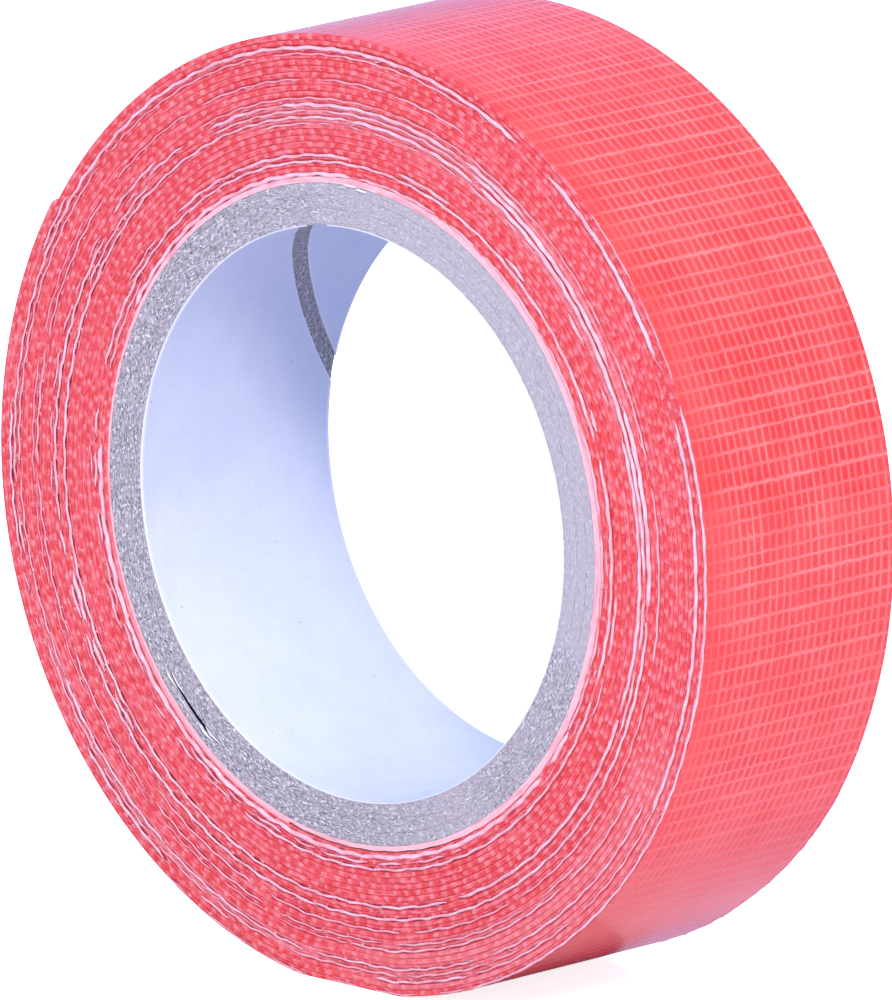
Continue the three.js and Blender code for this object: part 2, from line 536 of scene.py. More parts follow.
def thread_finish(name, pale, deep):
    """Bare polyester-cotton yarn, paler where it is clean of coating."""
    f = Finish(name, Roughness=0.75, Specular_IOR_Level=0.3)
    tint = f.stored("tint")
    where = f.node("NewGeometry").outputs["Position"]
    fuzz = f.noise(where, 6500, 2)
    base = f.mix(tint, deep, pale)
    f.colour(f.mix(f.ramp(fuzz, 0.5, 0.8, 0.0, 0.35), base, deep))
    f.bump(fuzz, 0.02 * MM, 0.7)
    return f.material


def board_finish():
    """Grey recycled paperboard: short fibres round the core, pale and dark flecks, with a
    crisper grain where the cut is rougher."""
    f = Finish("grey_board", Roughness=0.9, Specular_IOR_Level=0.2)
    grain = f.stored("grain", vector=True)
    crisp = f.stored("crisp")
    fibre = f.noise(f.scaled(grain, 3.0, 3.0, 8.5), 1.0, 3, 0.6)
    mottle = f.noise(f.scaled(grain, 0.9, 0.9, 1.6), 1.0, 3)
    fibre = f.mix(crisp, (0.5, 0.5, 0.5, 1.0), f.ramp(fibre, 0.34, 0.66))
    base = f.mix(fibre, (116, 118, 124), (176, 172, 178))
    base = f.mix(f.ramp(mottle, 0.35, 0.7, 0.0, 0.4), base, (154, 147, 154))
    base = f.mix(f.ramp(crisp, 0.9, 0.3, 0.0, 0.3), base, (172, 167, 174))
    pale = f.ramp(f.noise(f.scaled(grain, 3.6, 3.6, 7.0), 1.0, 1), 0.58, 0.66)
    dark = f.ramp(f.noise(f.scaled(grain, 3.0, 3.0, 7.0), 1.35, 1), 0.6, 0.68)
    pale = f.times(pale, f.times(crisp, 0.85))
    dark = f.times(dark, f.times(crisp, 0.8))
    base = f.mix(pale, base, (212, 212, 216))
    base = f.mix(dark, base, (66, 70, 80))
    # Painted shade: near black inside the split between the plies, a little darker in the liner's
    # seam
    f.colour(f.mix(f.stored("shade"), base, (18, 20, 26)))
    f.bump(f.plus(f.split(fibre)[0], pale), 0.05 * MM, 0.8)
    return f.material


def paper_finish():
    """White lining paper with faint fibres, a few specks and a lighter colour along its cut edges.
    """
    f = Finish("liner_paper", Roughness=0.62)
    grain = f.stored("grain", vector=True)
    edge = f.stored("edge")
    cloud = f.noise(f.scaled(grain, 0.35, 0.35, 0.5), 1.0, 3)
    fibre = f.noise(f.scaled(grain, 3.0, 3.0, 4.0), 1.0, 3)
    base = f.mix(cloud, (175, 184, 205), (188, 195, 208))
    base = f.mix(f.ramp(fibre, 0.4, 0.8, 0.0, 0.3), base, (163, 172, 194))
    speck = f.ramp(f.spots(grain, 0.55), 0.055, 0.03)
    base = f.mix(f.times(speck, 0.7), base, (108, 106, 116))
    f.colour(f.mix(f.times(edge, 0.6), base, (204, 205, 210)))
    f.bump(fibre, 0.015 * MM, 0.5)
    return f.material


def torn_finish():
    """Clean white fibres torn out of the board and the paper."""
    f = Finish("torn_fibre", Roughness=0.85)
    where = f.node("NewGeometry").outputs["Position"]
    fuzz = f.noise(where, 5000, 2)
    f.colour(f.mix(fuzz, (196, 196, 200), (226, 226, 228)))
    f.bump(fuzz, 0.02 * MM, 0.7)
    return f.material


def band_finish():
    """Pale band round the core: outer liner paper and the first, uncoated turn of cloth."""
    f = Finish("first_cloth", Roughness=0.8)
    grain = f.stored("grain", vector=True)
    fibre = f.noise(f.scaled(grain, 2.6, 2.6, 10.0), 1.0, 3)
    base = f.mix(fibre, (204, 142, 150), (212, 182, 188))
    blush = f.ramp(f.noise(f.scaled(grain, 0.5, 0.5, 2.0), 1.0, 2), 0.5, 0.75, 0.0, 0.6)
    f.colour(f.mix(blush, base, (204, 100, 114)))
    f.bump(fibre, 0.04 * MM, 0.7)
    return f.material


def floor_finish():
    """Pale light table: it glows to plain white, and lights the roll with a cooler bounce."""
    f = Finish("studio_floor", Roughness=0.5)
    where = f.node("NewGeometry").outputs["Position"]
    seen = f.node("LightPath").outputs["Is Camera Ray"]
    tone = f.noise(where, 3.0, 2)
    pale = f.mix(tone, (247, 248, 252), (250, 251, 254))
    f.colour(f.mix(seen, FLOOR_BOUNCE, pale))
    f.shader.inputs["Emission Color"].default_value = (1.0, 1.0, 1.0, 1.0)
    f.feed(f.shader.inputs["Emission Strength"], f.times(seen, FLOOR_GLOW))
    return f.material


FILM = film_finish()
CUT_EDGE = cut_edge_finish()
UNDERSIDE = underside_finish()
THREAD = thread_finish("bare_warp", (220, 174, 185), (206, 104, 116))
WEFT_END = thread_finish("weft_end", (214, 146, 153), (208, 84, 91))
BOARD = board_finish()
PAPER = paper_finish()
TORN = torn_finish()
BAND = band_finish()
FLOOR = floor_finish()


# ---------------------------------------------------------------- the strip

# Stretches of warp thread laid bare on a face:
# (turn, from angle, to angle, paleness, thickness, share that is broken away)
FRONT_THREADS = (
    (0, 238, 290, 0.5, 0.8, 0.3), (0, 290, 382, 0.9, 1.0, 0.0), (0, 384, 412, 0.5, 0.7, 0.3),
    (2, 150, 155, 0.9, 1.0, 0.0), (2, 175, 194, 1.0, 1.0, 0.0), (2, 196, 203, 0.8, 0.9, 0.5),
    (2, 219, 237, 1.0, 1.0, 0.0), (2, 244, 249, 0.9, 1.0, 0.0), (2, 274, 290, 1.0, 1.0, 0.0),
    (2, 291, 330, 0.7, 0.8, 0.1), (2, 330, 380, 1.0, 1.1, 0.0), (2, 388, 415, 1.0, 1.2, 0.0),
    (2, 421, 507, 0.9, 1.1, 0.0), (3, 150, 194, 0.8, 1.0, 0.1), (3, 205, 300, 0.6, 0.9, 0.2),
    (3, 430, 507, 0.5, 0.8, 0.1), (4, 150, 210, 0.6, 0.9, 0.1), (4, 210, 236, 0.9, 1.1, 0.0),
    (4, 236, 330, 0.8, 1.0, 0.1), (7, 150, 270, 0.4, 0.7, 0.2), (7, 270, 330, 0.8, 0.9, 0.1),
    (7, 429, 507, 0.5, 0.8, 0.2), (8, 150, 315, 0.65, 0.8, 0.15), (10, 230, 400, 0.65, 0.8, 0.15),
    (10, 400, 480, 0.5, 0.8, 0.1), (10, 490, 502, 0.8, 1.0, 0.0), (11, 150, 186, 0.7, 0.9, 0.4),
    (11, 415, 428, 1.0, 1.25, 0.1), (11, 429, 478, 0.9, 1.1, 0.1), (11, 484, 499, 0.7, 0.9, 0.3),
    (12, 150, 190, 1.0, 1.0, 0.0), (12, 191, 204, 0.9, 1.1, 0.3), (12, 206, 354, 1.0, 1.0, 0.0),
    (12, 356, 384, 1.0, 1.25, 0.0), (12, 390, 426, 1.0, 1.25, 0.0), (12, 427, 478, 0.7, 0.9, 0.1),
    (12, 493, 505, 0.8, 1.0, 0.2), (13, 150, 154, 0.9, 1.0, 0.0), (13, 197, 222, 1.0, 1.3, 0.35),
    (13, 336, 357, 0.8, 0.9, 0.3), (13, 360, 450, 1.0, 1.3, 0.05), (13, 450, 507, 0.8, 1.0, 0.0),
    (14, 150, 338, 1.0, 1.0, 0.0), (14, 339, 380, 1.0, 1.4, 0.0), (14, 410, 457, 0.6, 0.8, 0.45),
    (14, 458, 468, 0.6, 0.8, 0.0), (15, 385, 388, 0.8, 1.3, 0.0), (15, 395, 400, 0.9, 1.2, 0.0),
    (19, 335, 345, 0.7, 0.8, 0.4), (19, 346, 356, 0.9, 1.0, 0.0), (19, 382, 386, 0.9, 1.2, 0.0),
    (19, 409, 414, 0.9, 1.1, 0.0), (19, 428, 440, 0.9, 1.1, 0.0), (19, 450, 491, 0.8, 1.0, 0.0),
    (19, 498, 506, 0.7, 0.9, 0.3), (20, 178, 187, 0.6, 0.8, 0.3), (20, 200, 208, 0.8, 1.0, 0.3),
    (20, 221, 244, 0.8, 1.0, 0.4), (20, 246, 378, 0.9, 1.0, 0.0), (20, 381, 507, 0.9, 1.0, 0.0),
    (21, 150, 164, 0.8, 1.0, 0.0), (21, 171, 217, 0.8, 1.0, 0.3), (21, 231, 296, 0.8, 1.0, 0.3),
    (21, 319, 376, 0.6, 0.8, 0.5), (22, 150, 164, 0.6, 1.0, 0.1), (22, 177, 330, 1.0, 1.6, 0.03),
    (22, 330, 450, 0.7, 1.0, 0.2), (22, 450, 507, 1.0, 1.5, 0.0),
)
BACK_THREADS = (
    (0, 170, 330, 0.9, 1.0, 0.1), (1, 300, 500, 0.7, 0.9, 0.1), (3, 170, 290, 0.5, 0.8, 0.2),
    (3, 330, 380, 1.0, 1.2, 0.0), (5, 200, 460, 0.9, 1.0, 0.1), (8, 150, 260, 0.4, 0.8, 0.3),
    (8, 300, 420, 0.9, 1.0, 0.1), (10, 330, 507, 1.0, 1.3, 0.1), (11, 190, 310, 0.6, 0.8, 0.3),
    (14, 260, 400, 0.8, 1.0, 0.1), (15, 150, 230, 0.5, 0.8, 0.2), (16, 340, 507, 0.9, 1.0, 0.1),
    (18, 200, 380, 0.4, 0.8, 0.3), (20, 150, 300, 1.0, 1.1, 0.1), (20, 330, 470, 0.7, 0.9, 0.2),
    (21, 250, 400, 0.8, 1.2, 0.1), (22, 150, 500, 0.9, 1.3, 0.1),
)


# A thread bared right past the tip's angle is two stretches, one up to it and one after it in the
# next turn, which run into each other
EARLY_START = 150
LATE_FINISH = 505
TIP_OVERLAP = 4


def broken_pieces(stretches, seed):
    """Each stretch cut into the lengths of thread left on it, at its share broken away."""
    chance = np.random.default_rng(seed)
    pieces = []
    for turn, begin, finish, pale, heft, broken in stretches:
        if begin <= EARLY_START and turn > 0:
            begin -= TIP_OVERLAP
        if finish >= LATE_FINISH:
            finish += TIP_OVERLAP
        at = float(begin)
        while at < finish:
            kept = chance.uniform(4, 12) * (1 - broken) / max(broken, 0.02) * 0.4
            stop = min(finish, at + kept)
            if stop - at > 1.0:
                pieces.append((turn, at, stop, pale, heft * chance.uniform(0.85, 1.15)))
            at = stop + chance.uniform(1.0, 4.0)
    return pieces


FRONT_PIECES = broken_pieces(FRONT_THREADS, 3)
BACK_PIECES = broken_pieces(BACK_THREADS, 4)


UNEVEN_WINDING = 0.07 * MM


def edge_shift(length, side):
    """Uneven winding: how far an edge of the strip stands out at this length, in metres."""
    seed = 31 if side < 0 else 37
    return UNEVEN_WINDING * waves(length / MM, (61.0, 97.0, 173.0, 211.0, 389.0), seed)


def bareness(angles, pieces):
    """How clearly a warp thread is laid bare at these angles along the strip, 0 to 1."""
    amount = np.zeros_like(angles)
    for turn, begin, finish, pale, _ in pieces:
        within = np.minimum(angles - begin - turn * FULL_TURN, finish + turn * FULL_TURN - angles)
        amount = np.maximum(amount, (0.25 + 0.75 * pale) * smooth(within / 1.2))
    return amount


# Shape of the strip's cut edges: (depth, inset, opened by this turn's bare thread, opened by the
# bare thread of the turn below), lengths in millimetres
EDGE_PROFILE = (
    (0.02, 0.015, 1.0, 0.0), (0.08, 0.004, 1.0, 0.0), (0.16, 0.0, 0.9, 0.0),
    (0.25, 0.0, 0.3, 0.0), (0.33, 0.0, 0.0, 0.3), (0.38, 0.012, 0.0, 1.0),
)
EDGE_INSET = 0.035 * MM
OPENED = 0.11 * MM


def strip_section(angles, across, thickness):
    """Cross-sections of the strip, with rounded edges: points across the film, down the back
    edge, back along the adhesive and up the front edge. Returns each point's radius and place
    along the axis, and its layers: length, depth and how far a bare thread opens it."""
    rows = [(0.0, 0.0, 0.0, 0.0, y) for y in across]
    back = [row + (HALF_WIDTH / MM,) for row in EDGE_PROFILE]
    corner = (thickness / MM, EDGE_INSET / MM, 0.0, 0.8)
    front = [row[:4] + (-row[4],) for row in reversed(back)]
    edges = back + [corner + (HALF_WIDTH / MM,), corner + (-HALF_WIDTH / MM,)] + front
    rows = np.array([(d, i, o, u, y / MM) for d, i, o, u, y in rows] + edges)
    depth, inset, own, under, place_y = (rows[:, k][None] for k in range(5))
    depth, inset, place_y = depth * MM, inset * MM, place_y * MM
    length = strip_length(angles)[:, None]
    at_back = np.sign(place_y) > 0
    bare = np.zeros((len(angles), rows.shape[0]))
    for there, pieces in ((at_back, BACK_PIECES), (~at_back, FRONT_PIECES)):
        here = bareness(angles, pieces)[:, None] * own
        below = bareness(angles + FULL_TURN, pieces)[:, None] * under
        bare = np.where(there, here + below, bare)
    shift = np.where(at_back, edge_shift(length, 1), edge_shift(length, -1))
    reach = np.abs(place_y) / HALF_WIDTH
    y = place_y - np.sign(place_y) * (inset + OPENED * bare) + np.sign(place_y) * shift * reach**6
    radius = strip_radius(angles)[:, None] - depth
    layers = [np.broadcast_to(v, y.shape) for v in (length, depth, bare)]
    return radius, y, layers


def painted_groove_shade(angles):
    """Strength of the painted shade in a bare thread's groove: weaker on the right of the roll."""
    return 0.72 - 0.32 * facing(angles, 20)


def calm(angles):
    """How much the bare threads wander: they lie straighter on the right of the roll."""
    return 0.78 - 0.22 * facing(angles, 10)


# Where the front face is worn pale: (range of turns, range of angles, strength)
WORN_PATCHES = (
    ((10.6, 15.2), (15, 118), 0.35),
    ((2.6, 5.0), (195, 275), 0.35),
    ((0.2, 9.0), (265, 345), 0.21),
)


# The film lies smoother over the threads between these angles, where the roll stands, and near
# its front edge, from this place along the axis over this width, in millimetres
PRESSED_ARC = (262, 345)
MARGIN_START = 5.5
MARGIN_WIDTH = 3.5


def worn_patch(turn, around, turns, reach):
    """1 within a range of turns and a range of angles, falling off softly at its borders."""
    return window(turn, *turns, 0.8, 0.8) * window(around, *reach, 15, 15)


def store_strip(piece, angles, y, layers):
    """Keeps what the strip's three materials read on a piece of it."""
    length, depth, bare = layers
    store(piece, "lay", np.stack([length, y, depth], axis=-1) / MM)
    store(piece, "weft", weft_phase(length))
    store(piece, "warp", warp_phase(y))
    # bare is stored as the strength of the painted shade in the groove that a bare thread opens
    store(piece, "bare", np.clip(bare * painted_groove_shade(angles)[:, None], 0, 1))
    turn = (angles - TIP_ANGLE) / FULL_TURN
    start = smooth((turn - UNDYED_TURN - 0.3 * facing(angles, 160)) / 0.4)
    around = np.mod(angles, FULL_TURN)
    start = np.maximum(start, 0.8 * smooth(1 - strip_length(angles) / (0.6 * MM)))
    worn = sum(power * worn_patch(turn, around, *where) for *where, power in WORN_PATCHES)
    worn = np.where(y < 0, worn[:, None], 0.0)
    store(piece, "faded", np.maximum(start[:, None], worn))
    pressed = window(around, *PRESSED_ARC, 25, 40)
    front = smooth((-y / MM - MARGIN_START) / MARGIN_WIDTH)
    store(piece, "plain", 1 - np.maximum(0.85 * pressed[:, None], 0.6 * front))


def strip_columns(across_count):
    """Material of each lengthwise column of the strip: film, cut edges and adhesive."""
    film = [0] * (across_count - 1)
    edge = [1] * (len(EDGE_PROFILE) + 1)
    return film + edge + [2] + edge


def add_strip(name, angles, radius, y, layers, across):
    """A stretch of the strip as one closed body with its film, cut edges and adhesive."""
    piece = loft(name, place(angles[:, None], radius, y), [FILM, CUT_EDGE, UNDERSIDE],
                 strip_columns(len(across)))
    store_strip(piece, angles, y, layers)
    return piece


SIMPLE_ACROSS = np.array([-HALF_WIDTH + EDGE_INSET, HALF_WIDTH - EDGE_INSET])
FINE_ACROSS = np.concatenate([
    [-HALF_WIDTH + EDGE_INSET],
    np.linspace(-HALF_WIDTH + 0.16 * MM, HALF_WIDTH - 0.16 * MM, 82),
    [HALF_WIDTH - EDGE_INSET],
])
CLOTH_THICKNESS = 0.975 * TAPE_THICKNESS
UNDER_FLAP_ANGLE = 25.0


def band_radius(angle):
    """Rim of the pale band of first cloth round the core: widest on the right."""
    return BOARD_OUTER_RADII[2] + (0.31 + 0.2 * facing(angle, 20)) * MM


def build_wound_turns():
    """All the turns under the outermost one, as one long wound strip."""
    start = TIP_ANGLE + FULL_TURN + UNDER_FLAP_ANGLE - 0.5
    end = TIP_ANGLE + LAST_TURN * FULL_TURN
    angles = np.linspace(start, end, int((end - start) / WOUND_STEP))
    radius, y, layers = strip_section(angles, SIMPLE_ACROSS, CLOTH_THICKNESS)
    depth = layers[1]
    limit = band_radius(angles)[:, None] - 0.02 * MM
    radius = np.maximum(radius, limit + 0.03 * MM * (1 - depth / TAPE_THICKNESS))
    piece = add_strip("wound_turns", angles, radius, y, layers, SIMPLE_ACROSS)
    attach(piece, "root")
    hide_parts("tape_wound_turns")


def thread_relief(length, y, depth):
    """Height of the film where threads press up into it."""
    weft = 0.5 + 0.5 * np.cos(2 * math.pi * weft_phase(length))
    warp = 0.5 + 0.5 * np.cos(2 * math.pi * warp_phase(y))
    height = 0.012 * MM * (weft**2 + 0.7 * warp**2)
    return np.where(depth == 0, height, 0)


def surface_strip(start, end, step):
    """Finely modelled stretch of the strip, for the surface that shows."""
    angles = np.linspace(start, end, int(round((end - start) / step)) + 1)
    radius, y, layers = strip_section(angles, FINE_ACROSS, CLOTH_THICKNESS)
    return angles, radius + thread_relief(layers[0], y, layers[1]), y, layers


def build_outer_turn():
    """The outermost turn, with the first stretch that passes under the free end."""
    start, end = PEEL_ANGLE, TIP_ANGLE + FULL_TURN + UNDER_FLAP_ANGLE
    angles, radius, y, layers = surface_strip(start, end, OUTER_STEP)
    piece = add_strip("outer_turn", angles, radius, y, layers, FINE_ACROSS)
    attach(piece, "root")
    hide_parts("tape_outer_turn")


TIP_ROUNDING = 0.45 * MM
BEND_ANGLE = 7.5


def bend_at_peel_line(piece):
    """Bakes a piece of the free end's placement into its mesh; the start and end of the bend at
    the peel line are worked out but not used.
    """
    start = place(PEEL_ANGLE, PEEL_RADIUS, 0.0)
    end = place(PEEL_ANGLE - BEND_ANGLE, PEEL_RADIUS, 0.0)
    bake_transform(piece)


def build_free_end():
    """The end of the strip that lifts, with its upper edge rounded off."""
    angles, radius, y, layers = surface_strip(TIP_ANGLE, PEEL_ANGLE, FREE_END_STEP)
    length, depth, _ = layers
    into = np.clip(1 - length / TIP_ROUNDING, 0, 1)
    radius = radius - 0.2 * MM * into**2 * (1 - depth / TAPE_THICKNESS)
    piece = add_strip("free_end", angles, radius, y, layers, FINE_ACROSS)
    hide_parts("tape_free_end")
    bend_at_peel_line(piece)


THREAD_DEPTH = 0.09 * MM
# Radius of a bare thread, what a pale one has on top, and the range for a filament, in millimetres
THREAD_RADIUS = 0.056
PALE_EXTRA = 0.032
FILAMENT_RADIUS = (0.016, 0.034)
FILAMENT_POINTS = 7


def add_yarn(name, paths, radii, tints, sides):
    """Threads or filaments of one face, in one mesh that stays on the roll."""
    piece = tubes(name, paths, radii, sides, THREAD)
    store(piece, "tint", np.concatenate(tints))
    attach(piece, "root")


def thread_path(angles, turn, side, pale):
    """Line of one bare warp thread: it rises and dips over every second weft."""
    length = strip_length(angles)
    phase = math.pi * weft_phase(length)
    stray = waves(length / MM, (0.9, 1.7, 5.3, 11.0), 60)
    wander = MM * (0.05 * np.sin(phase) + 0.04 * stray) * calm(angles)
    if turn == 0:
        wander = wander * 0.5
    radius = strip_radius(angles) - THREAD_DEPTH + wander
    dip = 0.02 * np.cos(phase) + 0.03 * waves(length / MM, (1.3, 4.1, 9.7), 80)
    y = side * (HALF_WIDTH + edge_shift(length, side) + MM * (dip - 0.045 * (1 - pale) - 0.01))
    return place(angles, radius, y)


def build_threads(name, pieces, side):
    """Bare warp threads of one face, thinner at their ends and uneven along their length."""
    paths, radii, tints = [], [], []
    sides = 6
    for turn, begin, finish, pale, heft in pieces:
        angles = np.arange(begin, finish, THREAD_STEP) + turn * FULL_TURN
        length = strip_length(angles)
        ends = smooth(np.minimum(angles - angles[0], angles[-1] - angles) / 1.5)
        size = (THREAD_RADIUS + PALE_EXTRA * pale) * heft * MM * (0.35 + 0.65 * ends)
        size = size * (1 + 0.3 * waves(length / MM, (1.1, 1.9, 3.7, 8.3), 41))
        size = size * (1.12 + 0.12 * facing(angles, 45))
        paths.append(thread_path(angles, turn, side, pale))
        radii.append(size)
        tone = pale * (0.85 + 0.5 * waves(length / MM, (1.2, 2.3, 6.1, 17.0), 43))
        tints.append(np.repeat(np.clip(tone, 0, 1), sides))
    add_yarn(name, paths, radii, tints, sides)


def build_fuzz(name, pieces, side, density):
    """Loose filaments that curl off the bare threads."""
    chance = np.random.default_rng(17 if side < 0 else 19)
    paths, radii, tints = [], [], []
    sides = 4
    for turn, begin, finish, pale, heft in pieces:
        wanted = chance.poisson(density * (finish - begin) * max(heft * pale - 0.3, 0))
        for _ in range(wanted):
            span = chance.uniform(0.6, 2.4)
            start = chance.uniform(begin, finish) + turn * FULL_TURN
            t = np.linspace(0, 1, FILAMENT_POINTS)
            angles = start + span * t * chance.choice([-1, 1])
            path = thread_path(angles, turn, side, pale)
            drift = chance.normal(0, 0.16) * t + chance.normal(0, 0.08) * np.sin(math.pi * t)
            lift = chance.uniform(0.03, 0.12) + chance.uniform(0, 0.16) * t**2
            path = path * (1 + drift * MM / PEEL_RADIUS)[:, None] ** np.array([1, 0, 1])
            path[:, 1] += side * lift * MM
            paths.append(path)
            radii.append(chance.uniform(*FILAMENT_RADIUS) * MM * (1 - 0.7 * t))
            tints.append(np.full(FILAMENT_POINTS * sides, chance.uniform(0.5, 1.0)))
    add_yarn(name, paths, radii, tints, sides)


def icosahedron():
    """Corners and faces of a unit icosahedron."""
    g = (1 + math.sqrt(5)) / 2
    corners = [(-1, g, 0), (1, g, 0), (-1, -g, 0), (1, -g, 0), (0, -1, g), (0, 1, g),
               (0, -1, -g), (0, 1, -g), (g, 0, -1), (g, 0, 1), (-g, 0, -1), (-g, 0, 1)]
    faces = [(0, 11, 5), (0, 5, 1), (0, 1, 7), (0, 7, 10), (0, 10, 11), (1, 5, 9), (5, 11, 4),
             (11, 10, 2), (10, 7, 6), (7, 1, 8), (3, 9, 4), (3, 4, 2), (3, 2, 6), (3, 6, 8),
             (3, 8, 9), (4, 9, 5), (2, 4, 11), (6, 2, 10), (8, 6, 7), (9, 8, 1)]
    return np.array(corners) / math.hypot(1, g), faces


# Half the size of a weft's tuft: away from the roll's axis, along the strip and along the axis
WEFT_END_SIZE = (0.15 * MM, 0.09 * MM, 0.026 * MM)


def build_weft_ends(name, side, begin, finish):
    """Cut ends of the wefts: pale tufts along a face, between two angles along the strip."""
    first = int(weft_phase(strip_length(begin))) + 1
    last = int(weft_phase(strip_length(finish)))
    wefts = np.arange(first, last + 1)
    count = len(wefts)
    angles = angle_of_weft(wefts + rng.normal(0, 0.07, count))
    depth = (0.21 + rng.normal(0, 0.05, count)) * MM
    y = side * (HALF_WIDTH + edge_shift(strip_length(angles), side) - 0.008 * MM)
    centres = place(angles, strip_radius(angles) - depth, y)
    a = np.radians(angles)
    zero = np.zeros(count)
    outward = np.stack([np.cos(a), zero, np.sin(a)], -1)
    along = np.stack([-np.sin(a), zero, np.cos(a)], -1)
    axial = np.broadcast_to([0.0, 1.0, 0.0], outward.shape)
    frames = np.stack([outward, along, axial], 1)
    grow = rng.uniform(0.35, 1.05, count) * (0.82 - 0.22 * facing(angles, 0))
    outwards, lengthwise, axial_size = WEFT_END_SIZE
    sizes = np.stack([outwards * grow, lengthwise * grow * rng.uniform(0.6, 2.6, count),
                      axial_size * grow], -1)
    corners, faces = icosahedron()
    piece = scatter(name, corners, faces, centres, frames, sizes, WEFT_END)
    tint = rng.beta(1.2, 1.9, count) * (0.74 - 0.3 * facing(angles, 20))
    store(piece, "tint", np.repeat(tint, len(corners)))
    return piece


# ---------------------------------------------------------------- the core

GRAIN_RADIUS = 20.0
ON_FACE = 1e-6


def store_grain(piece, angle, across):
    """Keeps the grain's own space on a core piece: round a circle, and across the grain."""
    a = np.radians(angle)
    parts = np.broadcast_arrays(GRAIN_RADIUS * np.cos(a), GRAIN_RADIUS * np.sin(a), across / MM)
    store(piece, "grain", np.stack(parts, -1))


def wavy(points, scale, seed):
    """Smooth random values between about -1 and 1 at these points."""
    shift = Vector((seed * 7.3, seed * 3.1, seed * 5.7))
    flat = points.reshape(-1, 3) * scale
    values = [noise.noise(Vector(p) + shift) for p in flat]
    return np.array(values).reshape(points.shape[:-1])


# The board has come unglued at one place on the front: middle and outer ply stand apart
SPLIT_START, SPLIT_END = 218.0, 235.0
SPLIT_OPENING = 0.12 * MM
SPLIT_DEPTH = 5.0 * MM


def split_opening(angle, y):
    """Half the width of the gap between the middle and the outer ply."""
    t = (np.mod(angle, FULL_TURN) - SPLIT_START) / (SPLIT_END - SPLIT_START)
    t = np.clip(t, 0, 1)
    swell = (t * (1 - t) ** 0.6 / 0.42) ** 0.8
    fade = smooth(1 - (y + HALF_WIDTH) / SPLIT_DEPTH)
    return SPLIT_OPENING * swell * fade


def ring_section(inner, outer, face_points, corner):
    """Closed rectangle of a ply: radius and y of points over front face, outside, back, inside."""
    radial = np.linspace(0, 1, face_points)
    depths = (corner, 0.4 * MM, 1.2 * MM, 3.0 * MM)
    outside = [-HALF_WIDTH + d for d in depths] + [HALF_WIDTH - d for d in reversed(depths)]
    front = [(inner + corner + (outer - inner - 2 * corner) * t, -HALF_WIDTH) for t in radial]
    back = [(r, HALF_WIDTH) for r, _ in reversed(front)]
    wall = [(outer, y) for y in outside]
    bore = [(inner, y) for y in reversed(outside)]
    return np.array(front + wall + back + bore)


# The board's cut face is rough on the left of the roll, and between these angles low on the right
ROUGH_CUT = (285, 352)


def store_board(piece, angle, radius, y, on_face):
    """Crispness of the grain, and painted shade inside the split and in the liner's seam."""
    crisp = 0.3 + 0.7 * smooth(0.5 - 0.75 * facing(angle, 15))
    crisp = np.maximum(crisp, 0.75 * window(angle, *ROUGH_CUT, 25, 15))
    store(piece, "crisp", np.broadcast_to(crisp, radius.shape))
    gap = np.abs(radius - BOARD_OUTER_RADII[1]) < SPLIT_OPENING * 1.05
    inside = gap & ~on_face & (split_opening(angle, -HALF_WIDTH) > 0.02 * MM) & (y < 0)
    in_seam = (radius < PAPER_RADIUS + 0.001 * MM) & ~on_face
    store(piece, "shade", np.where(inside, 1.0, np.where(in_seam, 0.12, 0.0)))


BOARD_RECESS = 0.05 * MM
BOARD_ROUGHNESS = 0.035 * MM


def build_board_ply(node, inner, outer, order):
    """One ply of the board, with a rough cut face. order counts the plies from the bore."""
    angles = np.arange(0, FULL_TURN, BOARD_STEP)
    section = ring_section(inner, outer, 8, 0.012 * MM)
    radius = np.broadcast_to(section[:, 0], (len(angles), len(section))).copy()
    y = np.broadcast_to(section[:, 1], radius.shape).copy()
    flat = place(angles[:, None], radius, y)
    rough = wavy(flat, 1 / (0.35 * MM), order) + 0.6 * wavy(flat, 1 / (0.16 * MM), order + 5)
    on_face = np.abs(np.abs(y) - HALF_WIDTH) < ON_FACE
    y -= np.sign(y) * np.where(on_face, BOARD_RECESS + BOARD_ROUGHNESS * rough, BOARD_RECESS)
    opening = split_opening(angles[:, None], y)
    if order == 1:
        radius -= opening * (radius - inner) / (outer - inner)
    if order == 2:
        radius += opening * (outer - radius) / (outer - inner)
    piece = loft(node + "_body", place(angles[:, None], radius, y), [BOARD], closed=True)
    store_grain(piece, angles[:, None], radius + y)
    store_board(piece, angles[:, None], radius, y, on_face)
    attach(piece, "root")
    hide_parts(node)


SCALLOPS = 66
SCALLOP_HEIGHT = 0.05 * MM


def build_band():
    """Pale ring of outer liner and first cloth, widest on the right, with a scalloped rim."""
    angles = np.arange(0, FULL_TURN, BAND_STEP)
    inner = BOARD_OUTER_RADII[2] - 0.01 * MM
    scallop = SCALLOP_HEIGHT * np.abs(np.sin(np.radians(angles) * SCALLOPS / 2)) ** 0.7
    outer = band_radius(angles) + scallop
    section = ring_section(0.0, 1.0, 6, 0.0)
    radius = inner + (outer - inner)[:, None] * section[None, :, 0]
    y = np.broadcast_to(section[:, 1], radius.shape).copy()
    flat = place(angles[:, None], radius, y)
    rough = wavy(flat, 1 / (0.3 * MM), 9)
    on_face = np.abs(np.abs(y) - HALF_WIDTH) < ON_FACE
    y -= np.sign(y) * np.where(on_face, 0.03 * MM * rough, 0.04 * MM)
    piece = loft("outer_liner", place(angles[:, None], radius, y), [BAND], closed=True)
    store_grain(piece, angles[:, None], radius + y)
    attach(piece, "root")
    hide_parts("core_outer_liner")


